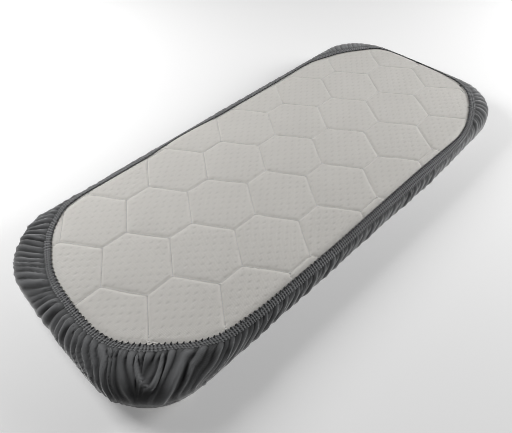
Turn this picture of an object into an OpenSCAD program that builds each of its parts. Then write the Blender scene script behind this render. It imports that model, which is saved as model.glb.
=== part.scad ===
// Carrycot mattress: a memory foam core in a zipped quilted cover, wearing a gathered fitted sheet.
// It lies on its sleeping face with its underside up. Millimetres, +Z up, X along its length, and the
// origin is on the face it lies on, under the middle of the outline.

/* [Overall] */
// Length over the fitted sheet
body_l = 800; // [600:1:1000]
// Width over the fitted sheet
body_w = 350; // [300:1:450]
// Height over everything
body_h = 50; // [41:0.5:70]
// Plan radius of the four corners over the fitted sheet
corner_r = 90; // [70:1:120]
// Rounding of the edges over the fitted sheet
edge_r = 20; // [16:0.5:20]

/* [Fitted sheet] */
// Cloth on the sleeping face
sheet_face_t = 1; // [0.6:0.1:2]
// Gathered cloth on the sides
sheet_side_t = 3; // [2:0.1:4]
// Gathered cloth where it turns over the underside
sheet_turn_t = 1.4; // [1:0.1:2]
// Clearance between the sheet and the cover
sheet_gap = 0.3; // [0.2:0.05:0.5]
// Reach of the sheet over the underside at the near end, up to the hem's free edge
reach_near = 36; // [20:1:50]
// The same at the far end
reach_far = 16; // [15:1:50]
// The same at the +Y side
reach_left = 21; // [15:1:50]
// The same at the -Y side
reach_right = 15; // [15:1:50]
// Plan radius of the opening's corners
opening_r = 125; // [90:1:128]
// Width of the hem with its elastic
hem_w = 10.6; // [7:0.1:14]
// Width of the overlocked free edge, which is part of the hem
overlock_w = 2.2; // [1:0.1:3]

/* [Quilted cover] */
// Knitted ticking
ticking_t = 1.2; // [0.6:0.1:2]
// Wadding under the ticking
wadding_t = 3; // [1.5:0.1:4]
// Non-woven backing of the quilting
backing_t = 0.4; // [0.2:0.1:0.6]
// Angle up the rounded edge at which the panels are sewn to the border
seam_angle = 54; // [40:1:60]
// Width of the seam, as an angle on the rounded edge
seam_span = 6; // [4:1:10]
// Clearance round the free quilting
field_gap = 0.4; // [0.2:0.1:1]

/* [Quilting] */
// Length of the hexagon edges that run along the mattress
hex_edge = 38.4; // [20:0.1:60]
// Length along the mattress of the slanting edges
hex_slant = 34.2; // [15:0.1:60]
// Half width of a hexagon, across the mattress
hex_half_w = 51; // [25:0.5:80]
// Place of one hexagon's centre along the mattress
hex_x = 15.5; // [-40:0.5:40]
// Place of the same centre across the mattress
hex_y = -0.5; // [-51:0.5:51]
// Width of a stitched channel
channel_w = 3; // [2:0.1:6]
// Depth of a stitched channel
channel_d = 1; // [0.4:0.1:1.2]
// Width of the sewing thread's line
thread_w = 1; // [0.5:0.1:1.5]
// Thickness of the sewing thread's line
thread_t = 0.6; // [0.3:0.1:0.9]

/* [Foam] */
// Thickness of the memory foam, next to the sleeping face
memory_t = 16.4; // [10:0.1:24]

/* [Zip] */
// Length of the opening for the zip
zip_l = 570; // [300:1:580]
// Height of the opening for the zip
zip_window = 10; // [9.8:0.1:14]
// Height of one tape
tape_h = 6; // [4:0.1:9]
// Thickness of a tape
tape_t = 0.6; // [0.4:0.1:1]
// Height of one row of teeth
teeth_h = 2.2; // [1.5:0.1:3]
// Thickness of the teeth
teeth_t = 1.8; // [1.2:0.1:2.4]
// Length of a stop
stop_l = 2; // [1:0.1:4]
// Length of the slider
slider_l = 11; // [8:0.1:16]
// Height of the slider
slider_h = 9; // [6:0.1:9.2]
// Thickness of the slider's outer plate
plate_t = 0.9; // [0.6:0.1:1.2]
// Width of the slider's post, between the rows of teeth
post_w = 0.8; // [0.5:0.1:1.2]
// Clearance between the slider and what it passes
slide_gap = 0.3; // [0.2:0.05:0.5]
// Length of the garage over the closed slider
garage_l = 22; // [16:1:40]
// Thickness of the garage
garage_t = 0.6; // [0.3:0.1:0.8]

/* [Care label] */
// Length of the label
label_l = 30; // [15:1:50]
// Height of the label
label_h = 12; // [6:1:13]
// Thickness of the label
label_t = 0.4; // [0.2:0.1:0.6]
// Place of its middle along the +Y side
label_x = 215; // [0:1:220]

/* [Hidden] */

$fn = 72;
ARC_STEPS = 4;
CUT = 1;

// The middle of every rounded corner, and how far a section reaches inwards from the edge rounding
half_x = body_l / 2 - corner_r;
half_y = body_w / 2 - corner_r;
edge_c = corner_r - edge_r;

// The cover fills the sheet: the rounding inside the sheet, the cover's own, and the centres of both
inside_e = edge_r - sheet_side_t;
cover_e = inside_e - sheet_gap;
low_c = sheet_face_t + inside_e;
high_c = body_h - sheet_turn_t - inside_e;
side_r = edge_c + cover_e;

// Depths under the cover's outer surface
wadding_d = ticking_t;
backing_d = ticking_t + wadding_t;
foam_d = backing_d + backing_t;
foam_bottom = low_c - cover_e + foam_d;
foam_split = foam_bottom + memory_t;
cover_top = high_c + cover_e;
field_top = body_h;

// The opening in the fitted sheet
opening_x0 = -body_l / 2 + reach_near;
opening_x1 = body_l / 2 - reach_far;
opening_y0 = -body_w / 2 + reach_right;
opening_y1 = body_w / 2 - reach_left;

// The zip is set in the middle of the -Y side. Distances are from the line through the corner centres.
zip_z = (low_c + high_c) / 2;
rows_gap = post_w + 2 * slide_gap;
tape_r = side_r - foam_d;
teeth_r = tape_r + teeth_t;
plate_r0 = teeth_r + slide_gap;
plate_r1 = plate_r0 + plate_t;
eye_r = side_r - garage_t - slide_gap;
back_r1 = tape_r - tape_t - slide_gap;
back_r0 = back_r1 - plate_t;
relief_r = back_r0 - slide_gap;
slider_x = zip_l / 2 - stop_l - 2 * slide_gap - slider_l / 2;
slider_travel = 2 * slider_x;
eye_w = 1.2;
eye_l = 5;
post_l = 3;

// Every rounding is cut at the same angles, so that the pieces fit: the border's, then the panel's
border_end = seam_angle - seam_span;
border_angles = [for (i = [0 : ARC_STEPS]) border_end * i / ARC_STEPS];
panel_angles = [for (i = [0 : ARC_STEPS]) seam_angle + (90 - seam_angle) * i / ARC_STEPS];
edge_angles = concat(border_angles, panel_angles);

function backwards(list) = [for (i = [len(list) - 1 : -1 : 0]) list[i]];

// Points of a rounding of radius r: side 1 is the upper one, which goes up, and side -1 the lower, which goes down
function rounding(side, r, angles, z = undef) =
    let (c = z != undef ? z : side > 0 ? high_c : low_c)
    [for (a = angles) [edge_c + r * cos(a), c + side * r * sin(a)]];

// Section of the whole cover, made smaller all round by d
function body_section(d) = concat(
    [[0, low_c - cover_e + d]],
    backwards(rounding(-1, cover_e - d, edge_angles)),
    rounding(1, cover_e - d, edge_angles),
    [[0, cover_top - d]]);

// Section of a layer between depths d0 and d1 over some of the angles
function layer_section(side, angles, d0, d1) = concat(
    rounding(side, cover_e - d0, angles),
    backwards(rounding(side, cover_e - d1, angles)));

// Section of a panel's layer, up to the middle: side 1 is the underside, side -1 the sleeping face
function panel_section(side, d0, d1) =
    let (z = side > 0 ? high_c : low_c) concat(
    rounding(side, cover_e - d0, panel_angles),
    [[0, z + side * (cover_e - d0)], [0, z + side * (cover_e - d1)]],
    backwards(rounding(side, cover_e - d1, panel_angles)));

// Section of a border's layer between depths d0 and d1
function border_section(d0, d1) = concat(
    backwards(rounding(-1, cover_e - d0, border_angles)),
    rounding(1, cover_e - d0, border_angles),
    backwards(rounding(1, cover_e - d1, border_angles)),
    rounding(-1, cover_e - d1, border_angles));

// Section of the sheet's lower half with its face, and of its upper half, from the middle of the side
function sheet_lower_section() = concat(
    [[0, 0]],
    backwards(rounding(-1, edge_r, edge_angles, edge_r)),
    [[corner_r, zip_z], [edge_c + inside_e, zip_z]],
    rounding(-1, inside_e, edge_angles),
    [[0, sheet_face_t]]);
function sheet_upper_section() = concat(
    [[edge_c + inside_e, zip_z], [corner_r, zip_z]],
    rounding(1, edge_r, edge_angles, body_h - edge_r),
    [[0, body_h], [0, body_h - sheet_turn_t]],
    backwards(rounding(1, inside_e, edge_angles)));

// Carries a section (distance from a corner's centre, height) once round the outline
module round_outline(section) {
    centres = [[half_x, half_y], [-half_x, half_y], [-half_x, -half_y], [half_x, -half_y]];
    for (i = [0 : 3])
        translate([centres[i][0], centres[i][1], 0])
            rotate([0, 0, 90 * i]) rotate_extrude(angle = 90) polygon(section);
    for (turn = [0, 180]) rotate([0, 0, turn]) {
        translate([-half_x, half_y, 0]) rotate([90, 0, 90]) linear_extrude(2 * half_x) polygon(section);
        translate([half_x, half_y, 0]) rotate([90, 0, 0]) linear_extrude(2 * half_y) polygon(section);
    }
}

// Fills the middle of the outline between two heights
module middle(z0, z1) {
    translate([-half_x, -half_y, z0]) cube([2 * half_x, 2 * half_y, z1 - z0]);
}

// A prism of the sheet's opening, grown by d, between two heights
module opening_prism(d, z0, z1) {
    r = opening_r + d;
    translate([0, 0, z0]) linear_extrude(z1 - z0) union() {
        translate([opening_x0 - d + r, opening_y0 - d])
            square([opening_x1 - opening_x0 + 2 * (d - r), opening_y1 - opening_y0 + 2 * d]);
        translate([opening_x0 - d, opening_y0 - d + r])
            square([opening_x1 - opening_x0 + 2 * d, opening_y1 - opening_y0 + 2 * (d - r)]);
        for (x = [opening_x0 - d + r, opening_x1 + d - r], y = [opening_y0 - d + r, opening_y1 + d - r])
            translate([x, y]) circle(r);
    }
}

// A box on the -Y side (side -1) or the +Y side (side 1), between two distances out from the middle line
module side_box(side, x0, x1, r0, r1, z0, z1) {
    translate([x0, side > 0 ? half_y + r0 : -half_y - r1, z0]) cube([x1 - x0, r1 - r0, z1 - z0]);
}

// What the zip takes out of the pieces round it
module zip_opening() {
    side_box(-1, -zip_l / 2, zip_l / 2, tape_r, side_r + CUT, zip_z - zip_window / 2, zip_z + zip_window / 2);
}
module tape_space() {
    tape_z = rows_gap / 2 + tape_h;
    side_box(-1, -zip_l / 2, zip_l / 2, tape_r - tape_t, tape_r, zip_z - tape_z, zip_z + tape_z);
}
module zip_relief() {
    reach = zip_window / 2;
    side_box(-1, -zip_l / 2, zip_l / 2, relief_r, side_r, zip_z - reach, zip_z + reach);
}

// The foam core's whole solid
module core() {
    difference() {
        union() {
            round_outline(body_section(foam_d));
            middle(foam_bottom, cover_top - foam_d);
        }
        zip_relief();
        tape_space();
    }
}
module slice(z0, z1) {
    translate([-body_l / 2, -body_w / 2, z0]) cube([body_l, body_w, z1 - z0]);
}

// Foam
module memory_foam_layer() {
    color([0.93, 0.90, 0.80]) intersection() {
        core();
        slice(0, foam_split);
    }
}
module base_foam_layer() {
    color([0.96, 0.96, 0.94]) intersection() {
        core();
        slice(foam_split, body_h);
    }
}

// One layer of a quilted panel
module panel_layer(side, d0, d1) {
    z = side > 0 ? high_c : low_c;
    a = z + side * (cover_e - d0);
    b = z + side * (cover_e - d1);
    round_outline(panel_section(side, d0, d1));
    middle(min(a, b), max(a, b));
}
module sleep_face_ticking() {
    color([0.88, 0.87, 0.84]) panel_layer(-1, 0, wadding_d);
}
module sleep_face_wadding() {
    color([0.97, 0.97, 0.96]) panel_layer(-1, wadding_d, backing_d);
}
module sleep_face_backing() {
    color([0.92, 0.92, 0.92]) panel_layer(-1, backing_d, foam_d);
}
module underside_wadding() {
    color([0.97, 0.97, 0.96]) panel_layer(1, wadding_d, backing_d);
}
module underside_backing() {
    color([0.92, 0.92, 0.92]) panel_layer(1, backing_d, foam_d);
}

// The free quilting in the sheet's opening, where the cover is flat, between two heights
module field_prism(z0, z1) {
    intersection() {
        opening_prism(-field_gap, z0, z1);
        translate([-half_x - edge_c, -half_y - edge_c, z0])
            cube([2 * (half_x + edge_c), 2 * (half_y + edge_c), z1 - z0]);
    }
}

// The hexagons' edges as a flat net of lines of width w. Each hexagon adds the edge along its +Y side
// and the two slanting edges that meet at its +X corner.
module hex_net(w) {
    row = hex_edge + hex_slant;
    cell = 2 * hex_half_w;
    slant_l = sqrt(hex_slant * hex_slant + hex_half_w * hex_half_w);
    slant_a = atan2(hex_half_w, hex_slant);
    rows = ceil((body_l / 2 + abs(hex_x)) / row) + 1;
    cells = ceil((body_w / 2 + abs(hex_y) + hex_half_w) / cell) + 1;
    for (i = [-rows : rows], j = [-cells : cells]) {
        x = hex_x + i * row;
        y = hex_y + j * cell + (i % 2 == 0 ? 0 : hex_half_w);
        near = abs(x) < body_l / 2 + row && abs(y) < body_w / 2 + hex_half_w;
        if (near) {
            translate([x - hex_edge / 2, y + hex_half_w - w / 2]) square([hex_edge, w]);
            for (side = [-1, 1])
                translate([x + hex_edge / 2, y + side * hex_half_w])
                    rotate(-side * slant_a) translate([0, -w / 2]) square([slant_l, w]);
        }
    }
}
module underside_ticking() {
    color([0.86, 0.85, 0.82]) difference() {
        union() {
            panel_layer(1, 0, wadding_d);
            field_prism(cover_top, field_top);
        }
        intersection() {
            translate([0, 0, field_top - channel_d]) linear_extrude(channel_d + CUT) hex_net(channel_w);
            field_prism(field_top - channel_d, field_top + CUT);
        }
    }
}
module underside_quilting_thread() {
    z0 = field_top - channel_d;
    color([0.80, 0.79, 0.76]) intersection() {
        translate([0, 0, z0]) linear_extrude(thread_t) hex_net(thread_w);
        field_prism(z0, z0 + thread_t);
    }
}

// Border
module border_ticking() {
    color([0.88, 0.87, 0.84]) difference() {
        round_outline(border_section(0, wadding_d));
        zip_opening();
    }
}
module border_wadding() {
    color([0.97, 0.97, 0.96]) difference() {
        round_outline(border_section(wadding_d, foam_d));
        zip_opening();
        tape_space();
    }
}
module seam_lower() {
    color([0.80, 0.79, 0.76]) round_outline(layer_section(-1, [border_end, seam_angle], 0, foam_d));
}
module seam_upper() {
    color([0.80, 0.79, 0.76]) round_outline(layer_section(1, [border_end, seam_angle], 0, foam_d));
}

// Zip
module zip_tape(side) {
    z0 = side > 0 ? zip_z + rows_gap / 2 : zip_z - rows_gap / 2 - tape_h;
    side_box(-1, -zip_l / 2, zip_l / 2, tape_r - tape_t, tape_r, z0, z0 + tape_h);
}
module zip_teeth(side) {
    z0 = side > 0 ? zip_z + rows_gap / 2 : zip_z - rows_gap / 2 - teeth_h;
    x = zip_l / 2 - stop_l;
    side_box(-1, -x, x, tape_r, teeth_r, z0, z0 + teeth_h);
}
module zip_stop(x0) {
    z = rows_gap / 2 + teeth_h;
    side_box(-1, x0, x0 + stop_l, tape_r, teeth_r, zip_z - z, zip_z + z);
}
module zip_tape_lower() {
    color([0.92, 0.92, 0.90]) zip_tape(-1);
}
module zip_tape_upper() {
    color([0.92, 0.92, 0.90]) zip_tape(1);
}
module zip_teeth_lower() {
    color([0.95, 0.95, 0.94]) zip_teeth(-1);
}
module zip_teeth_upper() {
    color([0.95, 0.95, 0.94]) zip_teeth(1);
}
module zip_stop_closed() {
    color([0.75, 0.76, 0.78]) zip_stop(zip_l / 2 - stop_l);
}
module zip_stop_open() {
    color([0.75, 0.76, 0.78]) zip_stop(-zip_l / 2);
}

// Child-safe slider: two plates, the post that parts the teeth, and a small eye in place of a pull tab
module zip_slider() {
    x0 = slider_x - slider_l / 2;
    x1 = slider_x + slider_l / 2;
    z0 = zip_z - slider_h / 2;
    z1 = zip_z + slider_h / 2;
    color([0.75, 0.76, 0.78]) union() {
        side_box(-1, x0, x1, plate_r0, plate_r1, z0, z1);
        side_box(-1, x0, x1, back_r0, back_r1, z0, z1);
        side_box(-1, x1 - post_l, x1, back_r1, plate_r0, zip_z - post_w / 2, zip_z + post_w / 2);
        side_box(-1, slider_x - eye_l / 2, slider_x + eye_l / 2, plate_r1, eye_r,
                 zip_z - eye_w / 2, zip_z + eye_w / 2);
    }
}
module zip_garage() {
    reach = zip_window / 2;
    color([0.88, 0.87, 0.84])
        side_box(-1, zip_l / 2 - garage_l, zip_l / 2, side_r - garage_t, side_r, zip_z - reach, zip_z + reach);
}

// Blank care label on the +Y side, under the sheet
module care_label() {
    color([0.97, 0.97, 0.97])
        side_box(1, label_x - label_l / 2, label_x + label_l / 2, side_r, side_r + label_t,
                 zip_z - label_h / 2, zip_z + label_h / 2);
}

// Fitted sheet
module sheet_upper() {
    round_outline(sheet_upper_section());
    middle(body_h - sheet_turn_t, body_h);
}
module fitted_sheet() {
    color([0.27, 0.28, 0.29]) difference() {
        union() {
            round_outline(sheet_lower_section());
            middle(0, sheet_face_t);
            sheet_upper();
        }
        opening_prism(hem_w, zip_z, body_h + CUT);
        care_label();
    }
}
module hem_ring(d0, d1) {
    intersection() {
        sheet_upper();
        difference() {
            opening_prism(d1, zip_z, body_h + CUT);
            opening_prism(d0, zip_z - CUT, body_h + 2 * CUT);
        }
    }
}
module hem_elastic() {
    color([0.25, 0.26, 0.27]) hem_ring(overlock_w, hem_w);
}
module hem_overlock_thread() {
    color([0.20, 0.21, 0.22]) hem_ring(0, overlock_w);
}

memory_foam_layer();
base_foam_layer();
sleep_face_backing();
sleep_face_wadding();
sleep_face_ticking();
underside_backing();
underside_wadding();
underside_ticking();
underside_quilting_thread();
border_wadding();
border_ticking();
seam_lower();
seam_upper();
zip_tape_lower();
zip_tape_upper();
zip_teeth_lower();
zip_teeth_upper();
zip_stop_closed();
zip_stop_open();
zip_slider();
zip_garage();
care_label();
fitted_sheet();
hem_elastic();
hem_overlock_thread();
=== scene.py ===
"""Carrycot mattress: quilted cover, gathered fitted sheet and studio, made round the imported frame."""

import math

import bpy
import numpy as np
from bpy.props import FloatProperty, FloatVectorProperty, IntProperty, PointerProperty
from mathutils import Matrix, Vector


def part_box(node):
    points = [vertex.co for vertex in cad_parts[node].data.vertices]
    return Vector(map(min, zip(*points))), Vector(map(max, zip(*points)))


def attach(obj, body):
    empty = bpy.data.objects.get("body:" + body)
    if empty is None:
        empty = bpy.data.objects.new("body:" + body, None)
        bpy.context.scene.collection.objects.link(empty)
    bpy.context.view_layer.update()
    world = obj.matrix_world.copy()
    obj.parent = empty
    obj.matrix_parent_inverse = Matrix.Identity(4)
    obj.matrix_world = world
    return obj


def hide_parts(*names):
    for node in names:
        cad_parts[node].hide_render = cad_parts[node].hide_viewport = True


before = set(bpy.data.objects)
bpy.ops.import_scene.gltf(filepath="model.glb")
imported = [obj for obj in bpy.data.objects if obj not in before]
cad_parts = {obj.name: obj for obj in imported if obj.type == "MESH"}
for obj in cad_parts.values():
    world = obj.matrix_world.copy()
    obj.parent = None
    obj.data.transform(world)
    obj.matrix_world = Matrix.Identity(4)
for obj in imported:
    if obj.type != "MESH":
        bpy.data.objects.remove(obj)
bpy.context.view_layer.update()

bl_info = {
    "name": "Carrycot mattress",
    "version": (1, 0, 0),
    "blender": (4, 5, 0),
    "location": "3D View > Sidebar > Mattress",
    "description": "Makes a quilted carrycot mattress in its gathered fitted sheet",
    "category": "Add Mesh",
}

MM = 0.001
BODY = "mattress"
TAU = 2 * math.pi

SHEET_LOW, SHEET_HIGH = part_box("fitted_sheet")
WADDING_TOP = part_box("underside_wadding")[1].z

# The hem's free edge, as points on the underside in millimetres from the mattress's middle
HEM_EDGE = [
    (385, 5), (388, 35), (386, 65), (375, 94), (352, 109), (338, 118), (324, 127), (306, 136),
    (276, 145), (247, 154), (216, 155), (126, 154), (0, 155), (-55, 160), (-85, 161), (-145, 155),
    (-205, 155), (-264, 156), (-294, 151), (-318, 132), (-331, 118), (-338, 106), (-344, 94),
    (-354, 76), (-362, 46), (-364, 16), (-365, -14), (-364, -44), (-356, -75), (-342, -93),
    (-334, -102), (-326, -110), (-315, -119), (-297, -137), (-267, -154), (-237, -158), (-207, -161),
    (-147, -162), (-87, -163), (-27, -163), (33, -163), (123, -163), (243, -165), (273, -160),
    (303, -148), (325, -138), (342, -126), (359, -114), (371, -96), (376, -84), (381, -55), (384, -25),
]

# The gathers, by place on the outline: how far they lean anticlockwise for each step down the side,
# the share of them that the wall keeps, and their height
FOLDS = [
    ((400, 0), 0.0, 0.2, 0.2), ((400, 60), 0.3, 0.15, 0.2), ((375, 140), 0.4, 0.1, 0.25),
    ((350, 160), -0.4, 0.1, 0.3), ((200, 175), -0.4, 0.1, 0.4), ((50, 175), 0.0, 0.1, 0.5),
    ((-100, 175), 0.4, 0.1, 0.6), ((-250, 175), 0.8, 0.1, 0.8), ((-350, 165), 0.9, 0.12, 1.0),
    ((-372, 143), -0.6, 0.12, 1.0), ((-386, 115), -1.0, 0.16, 1.0), ((-398, 72), -0.85, 0.3, 1.0),
    ((-400, 0), 0.0, 0.7, 1.0), ((-398, -72), 0.95, 0.8, 1.0), ((-377, -140), 0.85, 0.8, 1.0),
    ((-371, -150), -0.8, 0.7, 1.0), ((-340, -165), -1.0, 0.7, 1.0), ((-200, -175), -0.9, 0.75, 1.0),
    ((0, -175), -0.6, 0.75, 1.0), ((150, -175), -0.35, 0.7, 0.95), ((280, -175), -0.1, 0.6, 0.75),
    ((372, -150), 0.0, 0.2, 0.4), ((400, -60), -0.2, 0.2, 0.25),
]

# How far the slack sheet bellies out beyond the straight side, by place on the outline, in millimetres
BELLY = [
    ((400, 0), 3.5), ((400, 50), 4.5), ((395, 105), 0.8), ((372, 150), 0.0), ((300, 175), 0.0),
    ((200, 175), 1.8), ((0, 175), 3.4), ((-100, 175), 3.4), ((-200, 175), 1.8), ((-300, 175), 0.0),
    ((-372, 150), 0.3), ((-395, 110), 1.2), ((-400, 80), 3.0), ((-400, 40), 3.4), ((-400, 0), 2.0),
    ((-400, -72), 0.8), ((-372, -150), 0.0), ((-300, -175), 0.0), ((-200, -175), 0.0),
    ((-100, -175), 2.2), ((0, -175), 3.0), ((100, -175), 5.0), ((150, -175), 5.5), ((200, -175), 4.8),
    ((250, -175), 2.8), ((300, -175), 1.0), ((372, -150), 0.8), ((400, -85), 0.0),
]

# Two large folds at a corner: place along the outline, and distance down from the hem, in millimetres
LOOP_FOLD = [(1255, 0), (1260, 12), (1268, 26), (1276, 35), (1286, 39), (1293, 30), (1302, 14), (1310, 0)]
LONG_FOLD = [(1350, 0), (1338, 12), (1325, 24), (1311, 37), (1299, 50), (1288, 66)]

BIG_FOLD = 4.6 * MM     # how far these two folds stand out
LEAN_DEPTH = 52 * MM    # how far down the side the gathers go on leaning
HEM_INSET = 10 * MM     # how far inside the sheet's side distances along the outline are measured

# The hem's two sunk rows of stitching, and the overlock's middle line, as shares of the hem's width
HEM_ROWS = (0.46, 0.77)
OVERLOCK_ROW = 0.07

# The hem's section: share of its width, height, and depth of the ribs there
HEM_PROFILE = [
    (0.00, 0.30, 0.2), (0.05, 0.62, 0.5), (0.14, 0.85, 0.7), (0.24, 0.80, 0.9), (0.33, 0.95, 1.0),
    (0.42, 0.66, 0.5), (0.46, 0.60, 0.3), (0.50, 0.66, 0.5), (0.58, 1.00, 1.0), (0.67, 0.95, 1.0),
    (0.73, 0.66, 0.5), (0.77, 0.60, 0.3), (0.81, 0.66, 0.5), (0.88, 0.92, 1.0), (0.96, 0.70, 0.9),
    (1.00, 0.20, 0.3),
]

# Thread ends at the hem's free edge, as points on the underside in millimetres
THREAD_ENDS = [(386, 2), (368, -97), (319, -141)]

# The dimples in the ticking: length, width, distance along a row, and distance between rows
DIMPLE_L = 5.8 * MM
DIMPLE_W = 2.6 * MM
DIMPLE_PITCH = 16.2 * MM
DIMPLE_ROW = 6.9 * MM

NOISE_CELLS = 97        # cells of noise before it repeats

# The studio: lights by name, place, size and power, and the camera
LIGHTS = [("window", (-0.50, 0.98, 0.75), 0.6, 12.6), ("end", (1.2, -0.75, 0.5), 0.7, 17.0)]
CAMERA_AT = (-0.39362, -0.36151, 0.52294)
CAMERA_AHEAD = (0.44586, 0.48517, -0.75221)
CAMERA_UP = (0.53899, 0.52541, 0.65836)
CAMERA_LENS = 31.87


# ---------------------------------------------------------------- sizes and colours

def length(name, text, default, low=0.0, high=2.0):
    return FloatProperty(name=name, description=text, default=default, min=low, max=high,
                         unit="LENGTH", subtype="DISTANCE", precision=4)


def colour(name, text, default):
    return FloatVectorProperty(name=name, description=text, default=default, min=0, max=1,
                               size=3, subtype="COLOR")


class MATTRESS_PG_sizes(bpy.types.PropertyGroup):
    """Sizes of the mattress and its cover."""
    length: length("Length", "Length over the sheet", SHEET_HIGH.x - SHEET_LOW.x)
    width: length("Width", "Width over the sheet", SHEET_HIGH.y - SHEET_LOW.y)
    height: length("Height", "Height over the sheet", SHEET_HIGH.z - SHEET_LOW.z)
    corner: length("Corner radius", "Plan radius of the corners over the sheet", 0.090)
    edge: length("Edge rounding", "Rounding of the edges over the sheet", 0.019)
    hex_edge: length("Hexagon edge", "Length of the edges along the mattress", 0.0384)
    hex_slant: length("Hexagon slant", "Length along the mattress of the slanting edges", 0.0342)
    hex_half: length("Hexagon half width", "Half the hexagon's size across the mattress", 0.051)
    hex_x: FloatProperty(name="Hexagon place along", description="A hexagon's centre along the mattress",
                         default=0.0155, unit="LENGTH", subtype="DISTANCE")
    hex_y: FloatProperty(name="Hexagon place across", description="The same centre across the mattress",
                         default=-0.0005, unit="LENGTH", subtype="DISTANCE")
    puff: length("Puff", "Height of the quilting over its stitched channels", 0.0027)
    stitch: length("Quilting stitch", "Length of one quilting stitch with its gap", 0.0034)


class MATTRESS_PG_sheet(bpy.types.PropertyGroup):
    """Sizes of the sheet's gathers and hem."""
    cloth: length("Cloth", "Thickness of the jersey", 0.0007)
    hem: length("Hem width", "Width of the hem with its elastic", 0.0106)
    hem_height: length("Hem thickness", "Thickness of the hem over the cloth under it", 0.0020)
    gather: length("Gather pitch", "Distance between two gathers at the hem", 0.0086)
    gather_height: length("Gather height", "How far a gather stands out", 0.0043)
    rib: length("Rib pitch", "Distance between two ribs of the gathered elastic", 0.0037)
    notch: length("Notch pitch", "Distance between two notches of the overlocked edge", 0.0070)
    seed: IntProperty(name="Seed", description="Changes the lie of the gathers", default=7)


class MATTRESS_PG_colours(bpy.types.PropertyGroup):
    """Colours of the cloths, threads and foams."""
    ticking: colour("Ticking", "Knitted ticking of the cover", (0.820, 0.797, 0.755))
    jersey: colour("Jersey", "Jersey of the fitted sheet", (0.117, 0.119, 0.122))
    hem: colour("Hem", "Cloth of the hem", (0.163, 0.165, 0.169))
    overlock: colour("Overlock", "Overlock thread", (0.022, 0.022, 0.023))
    quilting: colour("Quilting thread", "Thread of the quilting", (0.93, 0.92, 0.89))
    memory: colour("Memory foam", "Foam next to the sleeping face", (0.86, 0.80, 0.62))
    base: colour("Base foam", "Foam under the memory foam", (0.86, 0.85, 0.80))
    wadding: colour("Wadding", "Polyester wadding", (0.90, 0.90, 0.88))


# ---------------------------------------------------------------- small helpers

def value_noise(x, y, cell, seed, period_cells=0):
    """Smooth noise between -1 and 1 on a lattice of the given cell; period_cells closes it along x."""
    rng = np.random.default_rng(seed)
    table = rng.uniform(-1, 1, (NOISE_CELLS, NOISE_CELLS))
    gx, gy = np.asarray(x, float) / cell, np.asarray(y, float) / cell
    ix, iy = np.floor(gx).astype(int), np.floor(gy).astype(int)
    fx, fy = gx - ix, gy - iy
    fx, fy = fx * fx * (3 - 2 * fx), fy * fy * (3 - 2 * fy)
    wrap = period_cells or NOISE_CELLS

    def at(i, j):
        return table[np.mod(np.mod(i, wrap), NOISE_CELLS), np.mod(j, NOISE_CELLS)]

    low = at(ix, iy) * (1 - fx) + at(ix + 1, iy) * fx
    high = at(ix, iy + 1) * (1 - fx) + at(ix + 1, iy + 1) * fx
    return low * (1 - fy) + high * fy


def ease(low, high, x):
    """0 up to low, 1 from high on, and a smooth rise between."""
    t = np.clip((x - low) / (high - low), 0, 1)
    return t * t * (3 - 2 * t)


def new_piece(name, points, faces, material, uvs=None, crest_and_painted_light=None, smooth=True):
    """A mesh object at the origin. uvs is one pair, and crest one number from 0 to 1, for each point; the
    number is stored as an attribute that the materials turn into painted highlight where high and painted
    shade where low.
    """
    mesh = bpy.data.meshes.new(name)
    mesh.from_pydata([tuple(p) for p in points], [], faces)
    if uvs is not None:
        layer = mesh.uv_layers.new(name="cloth")
        corner = np.zeros(len(mesh.loops), int)
        mesh.loops.foreach_get("vertex_index", corner)
        layer.data.foreach_set("uv", np.asarray(uvs, np.float32)[corner].ravel())
    if crest_and_painted_light is not None:
        layer = mesh.attributes.new("crest_and_painted_light", "FLOAT", "POINT")
        layer.data.foreach_set("value", np.asarray(crest_and_painted_light, np.float32).ravel())
    mesh.materials.append(material)
    if smooth:
        mesh.shade_smooth()
    mesh.validate()
    piece = bpy.data.objects.new(name, mesh)
    bpy.context.scene.collection.objects.link(piece)
    return piece


def band_faces(rows, columns):
    """Quads of a closed band whose points run row after row, facing away from the mattress's middle."""
    faces = []
    for j in range(rows - 1):
        for i in range(columns):
            k = (i + 1) % columns
            faces.append((j * columns + i, (j + 1) * columns + i, (j + 1) * columns + k, j * columns + k))
    return faces


def solid_mesh(piece):
    """Replaces a piece by what its modifiers make of it, as a plain mesh."""
    graph = bpy.context.evaluated_depsgraph_get()
    mesh = bpy.data.meshes.new_from_object(piece.evaluated_get(graph), depsgraph=graph)
    mesh.name = piece.name
    old = piece.data
    piece.modifiers.clear()
    piece.data = mesh
    if old.users == 0:
        bpy.data.meshes.remove(old)
    return piece


# ---------------------------------------------------------------- the outline and the section

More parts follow.
